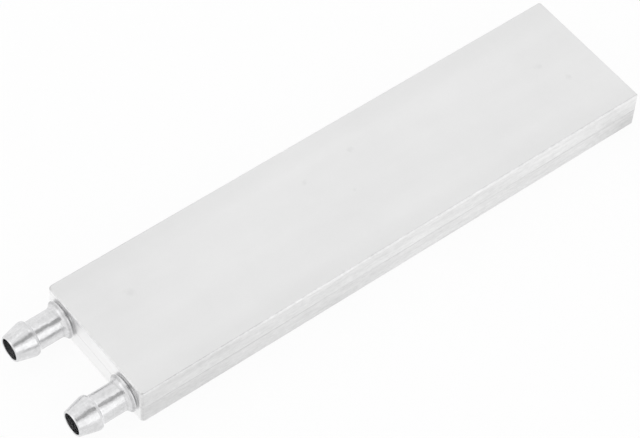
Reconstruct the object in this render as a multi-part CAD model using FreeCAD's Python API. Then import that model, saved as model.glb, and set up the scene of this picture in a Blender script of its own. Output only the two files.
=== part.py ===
import FreeCAD, Part
import math
import os

# Liquid cooling cold plate: two aluminium plates brazed face to face around a U-shaped,
# finned coolant passage, with a turned hose fitting pressed into each port of one short end.
#
# Frame: origin at the centre of the lower contact face, +X along the length away from the
# fittings, +Z up through the thickness.  All sizes are in millimetres.

# --- the brazed block ---
plate_length = 160.0
plate_width = 40.0
plate_height = 12.0
seam_height = 6.0            # joint between the two plates, above the lower contact face
port_corner_radius = 1.2     # upright corners beside the fittings
far_corner_radius = 0.6      # upright corners at the other end
face_edge_chamfer = 0.4      # broken edge where a contact face meets the sides
seam_edge_chamfer = 0.06     # broken edge of each plate along the seam

# --- the coolant passage ---
contact_skin = 2.2           # metal between a contact face and the coolant
side_wall = 3.5
port_wall = 8.0              # end wall that holds the fittings
far_wall = 5.0
divider_thickness = 3.0      # wall between the inlet leg and the outlet leg
plenum_length = 9.0          # open space between the port wall and the first fins
pocket_corner_radius = 2.0
fin_count = 5                # fins side by side in each leg
fin_thickness = 1.2
fin_nose = 1.0               # wedge that each end of a fin tapers over
fin_rows = 3                 # lengths each fin is broken into
mixing_gap = 3.0             # open space between two rows of fins
turn_gap = 2.0               # open space between the last row and the turning vanes
vane_fins = (2, 4)           # fins, counted from the divider, that a turning vane lines up with
vane_sweep = 150.0           # degrees that a vane turns through

# --- the hose fittings ---
fitting_inset = 6.6          # axis of a fitting, from the nearer long side
fitting_bore_d = 6.0
fitting_reach = 16.0         # end face of the block to the tip
spigot_wall = 0.7
spigot_length = 7.0
spigot_clearance = 0.03      # radial braze clearance in the port
neck_wall = 1.05
collar_step = 1.2            # collar's rim above the neck
collar_length = 1.9          # end face of the block to the small end of the cone
collar_rim = 0.25            # straight rim of the collar
collar_relief = 0.75         # rim to the end face of the block, where the braze pools
relief_chamfer = 0.5         # 45 degree back of the rim
flare_length = 0.6           # slighter cone that leads from the neck into the collar's
flare_step = 0.25
spigot_chamfer = 0.2
barb_step = 0.75             # barb's crest above the neck
barb_back = 9.3              # foot of the barb's shoulder, from the end face
shoulder_length = 0.5
ease_length = 0.5            # slighter cone that eases the shoulder into the crest
ease_step = 0.15
barb_land = 0.6              # straight crest of the barb
tip_wall = 0.6

# --- derived sizes ---
port_x = -plate_length / 2
far_x = plate_length / 2
port_y = plate_width / 2 - fitting_inset
port_z = plate_height / 2
leg_width = (plate_width - 2 * side_wall - divider_thickness) / 2
fin_gap = (leg_width - fin_count * fin_thickness) / (fin_count + 1)
pocket_half_width = plate_width / 2 - side_wall
pocket_start_x = port_x + port_wall
turn_x = far_x - far_wall - pocket_half_width
fin_start_x = pocket_start_x + plenum_length
fin_row_length = (turn_x - turn_gap - fin_start_x - (fin_rows - 1) * mixing_gap) / fin_rows
pocket_low_z = contact_skin
pocket_high_z = plate_height - contact_skin
bore_r = fitting_bore_d / 2
spigot_r = bore_r + spigot_wall
neck_r = bore_r + neck_wall
collar_r = neck_r + collar_step
barb_r = neck_r + barb_step
tip_r = bore_r + tip_wall
tip_chamfer = 0.4 * tip_wall
mouth_chamfer = 0.2 * tip_wall

UP = FreeCAD.Vector(0, 0, 1)
ALONG = FreeCAD.Vector(1, 0, 0)


def at(x, y, z):
    return FreeCAD.Vector(x, y, z)


def fin_offset(k):
    """Distance of the middle of fin k, counted from 1 at the divider, from the middle of the block."""
    return divider_thickness / 2 + k * (fin_gap + fin_thickness) - fin_thickness / 2


def upright_edges(solid, x_low, x_high):
    """The upright edges of a solid that lie between two distances along the block."""
    return [e for e in solid.Edges
            if abs(e.tangentAt(e.FirstParameter).z) > 0.5 and x_low < e.CenterOfMass.x < x_high]


def rim_edges(solid, z):
    """The edges that run round a solid at one height."""
    return [e for e in solid.Edges if abs(e.BoundBox.ZMin - z) < 1e-4 and abs(e.BoundBox.ZMax - z) < 1e-4]


def plate_blank(low_z, high_z):
    """A plate with its upright corners rounded, still sharp all round both faces."""
    blank = Part.makeBox(plate_length, plate_width, high_z - low_z, at(port_x, -plate_width / 2, low_z))
    blank = blank.makeFillet(port_corner_radius, upright_edges(blank, port_x - 1, 0))
    return blank.makeFillet(far_corner_radius, upright_edges(blank, 0, far_x + 1))


def risen(outline):
    """A wall of the coolant passage: an outline on the passage's floor, raised to its roof."""
    return Part.Face(outline).extrude(UP * (pocket_high_z - pocket_low_z))


def straight_fin(x0, x1, y):
    """A fin along the flow, wedge-shaped at both ends so that the coolant parts over it cleanly."""
    r = fin_thickness / 2
    corners = [(x0, y), (x0 + fin_nose, y + r), (x1 - fin_nose, y + r),
               (x1, y), (x1 - fin_nose, y - r), (x0 + fin_nose, y - r)]
    return risen(Part.makePolygon([at(cx, cy, pocket_low_z) for cx, cy in corners + corners[:1]]))


def divider():
    """The wall between the two legs, rooted in the port wall and round where the coolant turns."""
    r = divider_thickness / 2
    root_x = pocket_start_x - port_wall / 2
    a, b = at(root_x, r, pocket_low_z), at(turn_x, r, pocket_low_z)
    c, d = at(turn_x, -r, pocket_low_z), at(root_x, -r, pocket_low_z)
    return risen(Part.Wire([
        Part.makeLine(a, b),
        Part.Arc(b, at(turn_x + r, 0, pocket_low_z), c).toShape(),
        Part.makeLine(c, d),
        Part.makeLine(d, a),
    ]))


def turning_vane(radius):
    """A curved wall, concentric with the turn, that carries one lane of coolant round the divider."""
    half = math.radians(vane_sweep / 2)
    inner, outer = radius - fin_thickness / 2, radius + fin_thickness / 2

    def on(r, angle):
        return at(turn_x + r * math.cos(angle), r * math.sin(angle), pocket_low_z)

    past = half + fin_nose / radius
    return risen(Part.Wire([
        Part.Arc(on(outer, -half), on(outer, 0), on(outer, half)).toShape(),
        Part.makeLine(on(outer, half), on(radius, past)),
        Part.makeLine(on(radius, past), on(inner, half)),
        Part.Arc(on(inner, half), on(inner, 0), on(inner, -half)).toShape(),
        Part.makeLine(on(inner, -half), on(radius, -past)),
        Part.makeLine(on(radius, -past), on(outer, -half)),
    ]))


def coolant_space():
    """The space the coolant fills: a pocket with a round far end, less the divider, fins and vanes."""
    depth = pocket_high_z - pocket_low_z
    straight = Part.makeBox(turn_x - pocket_start_x, 2 * pocket_half_width, depth,
                            at(pocket_start_x, -pocket_half_width, pocket_low_z))
    straight = straight.makeFillet(pocket_corner_radius, upright_edges(straight, port_x, turn_x - 1))
    turn = Part.makeCylinder(pocket_half_width, depth, at(turn_x, 0, pocket_low_z), UP)
    space = straight.fuse(turn).removeSplitter()

    walls = [divider()]
    for row in range(fin_rows):
        x0 = fin_start_x + row * (fin_row_length + mixing_gap)
        for k in range(1, fin_count + 1):
            for side in (1, -1):
                walls.append(straight_fin(x0, x0 + fin_row_length, side * fin_offset(k)))
    walls += [turning_vane(fin_offset(k)) for k in vane_fins]
    return space.cut(walls)


def ports():
    """The two round holes through the port wall, drilled on the seam once the plates are together."""
    length = port_wall + pocket_corner_radius
    return [Part.makeCylinder(spigot_r + spigot_clearance, length,
                              at(port_x, side * port_y, port_z), ALONG)
            for side in (1, -1)]


def hose_fitting(side):
    """A turned fitting: spigot, coned collar with a relief behind it, neck and one long barb."""
    crest_x = -(barb_back + shoulder_length + ease_length)
    corners = [
        (spigot_length, bore_r),
        (spigot_length, spigot_r - spigot_chamfer),
        (spigot_length - spigot_chamfer, spigot_r),
        (0, spigot_r),
        (0, collar_r - relief_chamfer),
        (relief_chamfer - collar_relief, collar_r - relief_chamfer),
        (-collar_relief, collar_r),
        (-collar_relief - collar_rim, collar_r),
        (-collar_length, neck_r + flare_step),
        (-collar_length - flare_length, neck_r),
        (-barb_back, neck_r),
        (-barb_back - shoulder_length, barb_r - ease_step),
        (crest_x, barb_r),
        (crest_x - barb_land, barb_r),
        (tip_chamfer - fitting_reach, tip_r),
        (-fitting_reach, tip_r - tip_chamfer),
        (-fitting_reach, bore_r + mouth_chamfer),
        (mouth_chamfer - fitting_reach, bore_r),
    ]
    profile = Part.makePolygon([at(x, 0, r) for x, r in corners + corners[:1]])
    fitting = Part.Face(profile).revolve(at(0, 0, 0), ALONG, 360)
    fitting.translate(at(port_x, side * port_y, port_z))
    return fitting


def plates():
    coolant = coolant_space()
    cuts = [coolant] + ports()
    finished = []
    for low_z, high_z, face_z in ((0, seam_height, 0), (seam_height, plate_height, plate_height)):
        plate = plate_blank(low_z, high_z)
        plate = plate.makeChamfer(face_edge_chamfer, rim_edges(plate, face_z))
        plate = plate.makeChamfer(seam_edge_chamfer, rim_edges(plate, seam_height))
        finished.append(plate.cut(cuts))
    return finished


lower_plate, upper_plate = plates()
nodes = {
    "lower_plate": lower_plate,
    "upper_plate": upper_plate,
    "inlet_fitting": hose_fitting(1),
    "outlet_fitting": hose_fitting(-1),
}

os.makedirs("parts", exist_ok=True)
for name, shape in nodes.items():
    shape.exportStep("parts/" + name + ".step")
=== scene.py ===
import math

import bpy
from mathutils import Matrix, Vector


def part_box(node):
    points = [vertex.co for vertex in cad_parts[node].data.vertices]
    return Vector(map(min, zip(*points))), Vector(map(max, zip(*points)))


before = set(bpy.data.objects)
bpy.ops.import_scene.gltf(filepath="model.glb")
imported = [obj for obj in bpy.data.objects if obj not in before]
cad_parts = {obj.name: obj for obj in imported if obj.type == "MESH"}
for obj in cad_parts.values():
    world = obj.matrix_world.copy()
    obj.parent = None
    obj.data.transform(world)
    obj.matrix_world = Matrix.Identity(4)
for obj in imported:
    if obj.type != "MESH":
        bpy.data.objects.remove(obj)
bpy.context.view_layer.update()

# Lengths are in metres unless a comment says mm.  Places are in the CAD frame: origin at the centre
# of the lower contact face, +X along the plate away from its fittings, +Z up.
MM = 0.001
plate_low, plate_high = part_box("upper_plate")
TIP_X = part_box("inlet_fitting")[0].x
PORT_X = plate_low.x
FAR_X = plate_high.x
HALF_WIDTH = plate_high.y
SEAM_Z = plate_low.z
TOP_Z = plate_high.z

# --- camera ---
CAMERA_PLACE = Vector((-285.47, -318.82, 564.60)) * MM
CAMERA_YAW = math.radians(49.188)       # heading of the view, from +X towards +Y
CAMERA_PITCH = math.radians(52.954)     # below the horizon
CAMERA_ROLL = math.radians(3.830)
CAMERA_LENS = 154.48                    # mm, with the sensor below
CAMERA_SENSOR = 36.0                    # mm

# --- the plate's metal ---
PLATE_TONE = 0.805
PLATE_ROUGHNESS = 0.36
PLATE_ROUGHNESS_SWING = 0.14

# Patterns: scale, detail, roughness, and stretch along X, Y and Z, where a low number draws them out.
PLATE_PATTERNS = {
    "cloud": (60.0, 3.0, 0.55, (0.16, 1.0, 1.0)),
    "mottle": (90.0, 4.0, 0.6, (1.0, 1.0, 1.0)),
    "grain": (2600.0, 3.0, 0.7, (1.0, 1.0, 1.0)),
    "streak": (900.0, 4.0, 0.6, (0.12, 1.0, 1.0)),
    "wander": (90.0, 3.0, 0.6, (0.35, 1.0, 2.5)),
    "fleck": (1300.0, 3.0, 0.7, (0.4, 1.0, 1.0)),
    "milled": (900.0, 3.0, 0.6, (1.0, 0.06, 1.0)),
    "nibble": (500.0, 4.0, 0.7, (1.0, 1.0, 1.0)),
    "ragged": (420.0, 3.0, 0.6, (1.0, 1.0, 1.0)),
}

# How far a pattern swings the tone from its darkest to its lightest, and the region that shows it.
# Below zero, the pattern is turned over.
PLATE_SWINGS = (
    ("cloud", 0.09, "everywhere"),
    ("mottle", 0.05, "everywhere"),
    ("grain", 0.03, "everywhere"),
    ("streak", 0.24, "drawn_side"),
    ("wander", 0.20, "side"),
    ("fleck", 0.30, "side"),
    ("milled", 0.14, "end"),
    ("nibble", 0.40, "edge"),
    ("wander", -0.30, "seam"),
)

# How much lighter a region's tone is, or darker below zero.
PLATE_SHIFTS = (
    # painted shade on the flat faces near the long sides
    ("face_sides_painted_shade", -0.03),
    # painted shade on the flat faces near the ports
    ("face_by_ports_painted_shade", -0.02),
    ("edge", -0.045),
    # painted highlight along the top long edges
    ("top_edge", 0.05),
    # painted shade at the brink of the top edges, which moves that highlight down
    ("top_edge_painted_shade", -0.14),
    # less of the painted highlight on the top edges near the ports
    ("top_edge_by_ports_painted_shade", -0.035),
    # painted highlight on the sides just below the top edges
    ("under_top_edge_painted_highlight", 0.07),
    # painted shade on the lower edges, standing in for the contact shadow
    ("low_edge_painted_shade", -0.08),
    ("upper_side", 0.03),
    # painted shade on the sides near the ports
    ("side_by_ports_painted_shade", -0.07),
    # painted shade low on the sides at the far end
    ("far_end_painted_shade", -0.13),
    # painted light: the port end face made lighter
    ("port_end", 0.18),
    ("seam", -0.07),
    ("marks", -0.045),
)

# Bumps, from the bottom layer up: pattern, height in mm, and the region that has it.
PLATE_RELIEF = (
    ("grain", 0.02, "everywhere"),
    ("streak", 0.05, "drawn_side"),
    ("mottle", 0.10, "everywhere"),
)
MARK_DEPTH = 0.06 * MM

# Where a region fades in or out with the way that the surface faces, in parts of its normal.
FACE_UPRIGHT = (0.55, 0.70)
SIDE_ACROSS = (0.50, 0.90)
END_ALONG = (0.50, 0.90)
PORT_END_ALONG = (-0.99, -0.90)
EDGE_SQUAREST = (0.80, 0.98)
TOP_EDGE_TIPPED = (0.20, 0.45)
LOW_EDGE_TIPPED = (-0.45, -0.20)

# How far a region reaches, in mm: (all of it up to here, none of it past here).
BY_PORTS = (20, 55)                     # from the port face
FACE_BY_PORTS = (0, 40)                 # from the port face
BY_FAR_END = (3, 20)                    # from the far end
STAIN = (1, 12)                         # up from the lower face
FACE_SIDES = (1, 8)                     # in from a long side
BRINK = (0.05, 0.30)                    # down from the upper face
UNDER_TOP_EDGE = (0.5, 1.0)             # down from the upper face
UPPER_SIDE = (-0.6, 0.6)                # down from the seam
SEAM = (0.08, 0.45)                     # to either side of the seam

PORT_WEAR = 0.65                        # share of the drawn lines that handling by the ports took off

MARK_CORE = 0.1                         # a mark has its full depth within this share of its radius
MARK_RAGGEDNESS = 2.4                   # how far a pattern moves a mark's rim in and out

# Small dings on the contact faces: place along and across the plate, and radius, in mm.
HANDLING_MARKS = (
    (-64.5, 6.5, 1.8),
    (-9.0, 8.2, 1.0),
    (7.0, 10.0, 1.3),
    (65.0, 2.6, 1.2),
    (69.0, -4.5, 1.2),
    (0.0, -1.0, 0.8),
    (-18.0, -19.6, 1.1),
)

# --- the fittings' metal ---
TURNED_TONE = 0.74
TURNED_TINT = (0.995, 0.995, 1.005)
TURNED_ROUGHNESS = 0.23
TURNED_ROUGHNESS_SWING = 0.12
TURNED_PATTERNS = {
    "turning": (5200.0, 2.0, 0.5, (1.0, 0.004, 0.004)),
    "drag": (700.0, 3.0, 0.6, (0.08, 1.0, 1.0)),
    "cloud": (260.0, 3.0, 0.55, (1.0, 1.0, 1.0)),
    "patch": (1000.0, 3.0, 0.6, (1.0, 1.0, 1.0)),
    "uneven": (220.0, 3.0, 0.5, (1.0, 1.0, 1.0)),
}
TURNED_SWINGS = (("cloud", 0.20), ("drag", 0.24), ("turning", 0.05), ("patch", 0.24))
TURNED_RELIEF = (("uneven", 0.20), ("turning", 0.008))

# Rings round a fitting, in mm: distance out from the port face, reach to either side, and how much
# darker its metal is there.  They are painted shade in the relief behind the collar, at the collar's rim
# and in the crease where the neck meets the collar, and the last, lighter one is a painted highlight on
# the barb's foot.
RINGS = ((0.25, 0.35, 0.5), (1.25, 0.35, 0.3), (2.5, 0.35, 0.12), (9.55, 0.5, -0.3))
RING_CORE = 0.3                         # a ring is at its full within this share of its reach

# --- studio ---
FLOOR_REACH = 6.0
FLOOR_DROP = 0.02 * MM                  # keeps the floor out of the plate's lower face
FLOOR_TONE = 0.94
# How white the floor shows to each kind of ray.  The rest is its own tone, with the plate's shadow.
FLOOR_WHITENESS = {"Is Camera Ray": 0.93, "Is Glossy Ray": 0.86, "Is Transmission Ray": 0.86}

# Lamps: place from the middle of the fittings, width, depth, and brightness as a share of white.
SOFTBOXES = {
    "side_softbox": ((0.0449, -0.8212, 0.3656), 0.70, 0.60, 0.36),
    "top_strip": ((0.1765, 0.1533, 0.8691), 1.00, 0.16, 0.28),
    "end_softbox": ((-0.8600, 0.3600, 0.3200), 0.42, 0.32, 0.35),
}
# A dark card: place from the middle of the fittings, width, depth and tone.
FLAG = ((0.0, -0.1710, 0.4698), 1.20, 0.24, 0.48)


class Shader:
    """A node tree for one material, with short calls for the nodes that the materials here share."""

    def __init__(self, name):
        self.material = bpy.data.materials.new(name)
        self.material.use_nodes = True
        self.tree = self.material.node_tree
        self.tree.nodes.clear()
        self.output = self.node("OutputMaterial")

    def node(self, kind):
        return self.tree.nodes.new("ShaderNode" + kind)

    def feed(self, socket, value):
        """Sets a socket to a number or colour, or links it to another node's output."""
        if isinstance(value, (int, float, tuple)):
            socket.default_value = value
        else:
            self.tree.links.new(value, socket)

    def show(self, surface):
        self.feed(self.output.inputs["Surface"], surface)

    def math(self, operation, a, b=0.0, clamp=False):
        node = self.node("Math")
        node.operation = operation
        node.use_clamp = clamp
        self.feed(node.inputs[0], a)
        self.feed(node.inputs[1], b)
        return node.outputs[0]

    def both(self, a, b):
        return self.math("MULTIPLY", a, b)

    def magnitude(self, value):
        return self.math("ABSOLUTE", value)

    def mixed(self, share, a, b):
        """Surface a, with a share of surface b."""
        node = self.node("MixShader")
        for socket, value in zip(node.inputs, (share, a, b)):
            self.feed(socket, value)
        return node.outputs[0]

    def axes(self, vector):
        node = self.node("SeparateXYZ")
        self.feed(node.inputs[0], vector)
        return node.outputs

    def ramp(self, value, low, high, at_low, at_high):
        node = self.node("MapRange")
        node.interpolation_type = "SMOOTHSTEP"
        self.feed(node.inputs["Value"], value)
        node.inputs["From Min"].default_value = low
        node.inputs["From Max"].default_value = high
        node.inputs["To Min"].default_value = at_low
        node.inputs["To Max"].default_value = at_high
        return node.outputs["Result"]

    def rise(self, value, low, high):
        """0 where the value is below low, rising smoothly to 1 above high."""
        return self.ramp(value, low, high, 0.0, 1.0)

    def fall(self, value, low, high):
        """1 where the value is below low, falling smoothly to 0 above high."""
        return self.ramp(value, low, high, 1.0, 0.0)

    def within(self, distance, near, far):
        """1 up to the near distance, falling smoothly to 0 at the far one, both in mm."""
        return self.fall(distance, near * MM, far * MM)

    def shifted(self, level, change, region):
        """A level with a change added where the region is 1."""
        return self.math("ADD", level, self.both(change, region))

    def varied(self, level, pattern, swing, region=1.0):
        """A level that a pattern moves up and down by half of the swing where the region is 1."""
        return self.shifted(level, self.both(self.math("SUBTRACT", pattern, 0.5), swing), region)

    def grey(self, value, tint=(1.0, 1.0, 1.0)):
        node = self.node("CombineColor")
        for socket, part in zip(node.inputs, tint):
            self.feed(socket, self.math("MULTIPLY", value, part, clamp=True))
        return node.outputs[0]

    def bump(self, height, distance, under=None):
        node = self.node("Bump")
        node.inputs["Distance"].default_value = distance
        self.feed(node.inputs["Height"], height)
        if under is not None:
            self.feed(node.inputs["Normal"], under)
        return node.outputs[0]


class Metal(Shader):
    """A bare metal, with patterns that are fixed to the piece it is on."""

    def __init__(self, name):
        super().__init__(name)
        self.place = self.node("TexCoord").outputs["Object"]

    def noise(self, scale, detail, roughness, stretch):
        mapping = self.node("Mapping")
        mapping.inputs["Scale"].default_value = stretch
        self.feed(mapping.inputs["Vector"], self.place)
        node = self.node("TexNoise")
        node.inputs["Scale"].default_value = scale
        node.inputs["Detail"].default_value = detail
        node.inputs["Roughness"].default_value = roughness
        self.feed(node.inputs["Vector"], mapping.outputs[0])
        return node.outputs["Fac"]

    def finish(self, colour, roughness, normal):
        surface = self.node("BsdfPrincipled")
        surface.inputs["Metallic"].default_value = 1.0
        self.feed(surface.inputs["Base Color"], colour)
        self.feed(surface.inputs["Roughness"], roughness)
        self.feed(surface.inputs["Normal"], normal)
        self.show(surface.outputs[0])


def add_camera():
    level = math.cos(CAMERA_PITCH)
    forward = Vector((math.cos(CAMERA_YAW) * level, math.sin(CAMERA_YAW) * level, -math.sin(CAMERA_PITCH)))
    right = forward.cross(Vector((0, 0, 1))).normalized()
    up = right.cross(forward)
    turned_right = right * math.cos(CAMERA_ROLL) + up * math.sin(CAMERA_ROLL)
    turned_up = up * math.cos(CAMERA_ROLL) - right * math.sin(CAMERA_ROLL)
    data = bpy.data.cameras.new("camera")
    data.lens = CAMERA_LENS
    data.sensor_width = CAMERA_SENSOR
    camera = bpy.data.objects.new("camera", data)
    turn = Matrix((turned_right, turned_up, -forward)).transposed().to_4x4()
    camera.matrix_world = Matrix.Translation(CAMERA_PLACE) @ turn
    bpy.context.scene.collection.objects.link(camera)
    bpy.context.scene.camera = camera


def handling_marks(s, x, y, ragged):
    """1 at the middle of each small mark, fading to 0 at its ragged rim."""
    marks = 0.0
    for mark_x, mark_y, radius in HANDLING_MARKS:
        dx = s.math("SUBTRACT", x, mark_x * MM)
        dy = s.math("SUBTRACT", y, mark_y * MM)
        distance = s.math("SQRT", s.math("ADD", s.both(dx, dx), s.both(dy, dy)))
        distance = s.both(distance, s.varied(1.0, ragged, MARK_RAGGEDNESS))
        marks = s.math("MAXIMUM", marks, s.within(distance, MARK_CORE * radius, radius))
    return marks


def plate_regions(s, ragged):
    """The parts of a plate's surface by name: each is 1 where that part is, and 0 away from it."""
    x, y, z = s.axes(s.place)
    from_ports = s.math("SUBTRACT", x, PORT_X)
    from_far_end = s.math("SUBTRACT", FAR_X, x)
    from_side = s.math("SUBTRACT", HALF_WIDTH, s.magnitude(y))
    below_top = s.math("SUBTRACT", TOP_Z, z)
    below_seam = s.math("SUBTRACT", SEAM_Z, z)

    nx, ny, nz = s.axes(s.node("NewGeometry").outputs["Normal"])
    along, across, upright = s.magnitude(nx), s.magnitude(ny), s.magnitude(nz)
    squarest = s.math("MAXIMUM", s.math("MAXIMUM", along, across), upright)
    tipped = s.both(across, nz)

    face = s.rise(upright, *FACE_UPRIGHT)
    side = s.rise(across, *SIDE_ACROSS)
    port_end = s.fall(nx, *PORT_END_ALONG)
    top_edge = s.rise(tipped, *TOP_EDGE_TIPPED)
    by_ports = s.within(from_ports, *BY_PORTS)
    drawn_side = s.both(side, s.math("SUBTRACT", 1.0, s.both(by_ports, PORT_WEAR)))
    seam = s.within(s.magnitude(below_seam), *SEAM)
    low_far_end = s.both(s.within(from_far_end, *BY_FAR_END), s.within(z, *STAIN))
    return {
        "everywhere": 1.0,
        "side": side,
        "side_by_ports_painted_shade": s.both(side, by_ports),
        "drawn_side": drawn_side,
        "under_top_edge_painted_highlight": s.both(drawn_side, s.within(below_top, *UNDER_TOP_EDGE)),
        "upper_side": s.both(side, s.within(below_seam, *UPPER_SIDE)),
        "far_end_painted_shade": s.both(side, low_far_end),
        "end": s.rise(along, *END_ALONG),
        "port_end": port_end,
        "seam": s.math("SUBTRACT", seam, port_end, clamp=True),
        "edge": s.fall(squarest, *EDGE_SQUAREST),
        "top_edge": top_edge,
        "top_edge_painted_shade": s.both(top_edge, s.within(below_top, *BRINK)),
        "top_edge_by_ports_painted_shade": s.both(top_edge, by_ports),
        "low_edge_painted_shade": s.fall(tipped, *LOW_EDGE_TIPPED),
        "face_sides_painted_shade": s.both(face, s.within(from_side, *FACE_SIDES)),
        "face_by_ports_painted_shade": s.both(face, s.within(from_ports, *FACE_BY_PORTS)),
        "marks": s.both(face, handling_marks(s, x, y, ragged)),
    }


def plate_metal():
    """Brazed and pickled plate: satin and faintly clouded, with drawn sides and milled ends, and painted
    light: a lighter port end, painted highlights along the top edges, and painted shade on the faces and
    sides by the ports, near the long sides, on the lower edges and low on the sides at the far end.
    """
    s = Metal("plate_aluminium")
    patterns = {name: s.noise(*values) for name, values in PLATE_PATTERNS.items()}
    regions = plate_regions(s, patterns["ragged"])

    tone = PLATE_TONE
    for name, swing, region in PLATE_SWINGS:
        tone = s.varied(tone, patterns[name], swing, regions[region])
    # Several of these shifts are painted shade and painted highlights, as marked in PLATE_SHIFTS.
    for region, change in PLATE_SHIFTS:
        tone = s.shifted(tone, change, regions[region])

    normal = None
    for name, height, region in PLATE_RELIEF:
        normal = s.bump(s.both(patterns[name], regions[region]), height * MM, under=normal)
    normal = s.bump(s.math("SUBTRACT", 1.0, regions["marks"]), MARK_DEPTH, under=normal)

    roughness = s.varied(PLATE_ROUGHNESS, patterns["mottle"], PLATE_ROUGHNESS_SWING)
    s.finish(s.grey(tone), roughness, normal)
    return s.material


def turned_metal():
    """Bright turned fitting: tool marks that run round it, mottling, rings of painted shade at its corners
    and a ring of painted highlight on the barb's foot.
    """
    s = Metal("turned_aluminium")
    patterns = {name: s.noise(*values) for name, values in TURNED_PATTERNS.items()}
    x = s.axes(s.place)[0]

    tone = TURNED_TONE
    for name, swing in TURNED_SWINGS:
        tone = s.varied(tone, patterns[name], swing)
    # painted shade in each fitting's relief and crease, and a painted highlight on the barb's foot
    for out, reach, darker in RINGS:
        away = s.magnitude(s.math("SUBTRACT", x, PORT_X - out * MM))
        ring = s.both(s.within(away, RING_CORE * reach, reach), patterns["cloud"])
        tone = s.shifted(tone, -darker, ring)

    normal = None
    for name, height in TURNED_RELIEF:
        normal = s.bump(patterns[name], height * MM, under=normal)

    roughness = s.varied(TURNED_ROUGHNESS, patterns["cloud"], TURNED_ROUGHNESS_SWING)
    s.finish(s.grey(tone, TURNED_TINT), roughness, normal)
    return s.material


def dress(nodes, material):
    for name in nodes:
        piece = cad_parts[name]
        piece.data.materials.clear()
        piece.data.materials.append(material)


def rectangle(name, width, depth, height, material):
    """A level rectangle at a height over its own origin."""
    w, d = width / 2, depth / 2
    corners = [(-w, -d, height), (w, -d, height), (w, d, height), (-w, d, height)]
    mesh = bpy.data.meshes.new(name)
    mesh.from_pydata(corners, [], [(0, 1, 2, 3)])
    mesh.materials.append(material)
    thing = bpy.data.objects.new(name, mesh)
    bpy.context.scene.collection.objects.link(thing)
    return thing


def add_floor():
    """A white table top with the plate's faint shadow, and clear from below to show the underside."""
    s = Shader("table_top")
    matt = s.node("BsdfDiffuse")
    matt.inputs["Color"].default_value = (FLOOR_TONE, FLOOR_TONE, FLOOR_TONE, 1.0)
    white = s.node("Emission")
    white.inputs["Strength"].default_value = 1.0
    rays = s.node("LightPath")
    whiteness = 0.0
    for kind, share in FLOOR_WHITENESS.items():
        whiteness = s.math("MAXIMUM", whiteness, s.both(rays.outputs[kind], share))
    above = s.mixed(whiteness, matt.outputs[0], white.outputs[0])
    below = s.node("BsdfTransparent").outputs[0]
    s.show(s.mixed(s.node("NewGeometry").outputs["Backfacing"], above, below))
    floor = rectangle("table_top", 2 * FLOOR_REACH, 2 * FLOOR_REACH, -FLOOR_DROP, s.material)


def aim(thing, middle, offset):
    """Places a lamp or card at an offset from a point, and faces it towards that point."""
    thing.location = middle + Vector(offset)
    thing.rotation_euler = (-Vector(offset)).to_track_quat("-Z", "Y").to_euler()


def add_softbox(name, middle, offset, width, depth, brightness):
    """A lamp that looks as bright as a white surface lit to the stated level."""
    data = bpy.data.lights.new(name, "AREA")
    data.shape = "RECTANGLE"
    data.size = width
    data.size_y = depth
    data.energy = brightness * math.pi * width * depth
    lamp = bpy.data.objects.new(name, data)
    bpy.context.scene.collection.objects.link(lamp)
    aim(lamp, middle, offset)


def add_flag(middle, offset, width, depth, tone):
    """A dark card that bright metal shows as a band, as in a product photograph."""
    s = Shader("flag")
    surface = s.node("BsdfPrincipled")
    surface.inputs["Base Color"].default_value = (tone, tone, tone, 1.0)
    surface.inputs["Roughness"].default_value = 1.0
    s.show(surface.outputs[0])
    card = rectangle("flag", width, depth, 0, s.material)
    card.visible_camera = False
    aim(card, middle, offset)


def add_world():
    world = bpy.data.worlds.new("studio")
    world.use_nodes = True
    background = world.node_tree.nodes["Background"]
    background.inputs["Color"].default_value = (1.0, 1.0, 1.0, 1.0)
    background.inputs["Strength"].default_value = 1.0
    bpy.context.scene.world = world


dress(["lower_plate", "upper_plate"], plate_metal())
dress(["inlet_fitting", "outlet_fitting"], turned_metal())
add_camera()
add_floor()
add_world()
fitting_middle = Vector(((TIP_X + PORT_X) / 2, 0, SEAM_Z))
add_flag(fitting_middle, *FLAG)
for name, values in SOFTBOXES.items():
    add_softbox(name, fitting_middle, *values)

bpy.context.scene.view_settings.view_transform = "Standard"
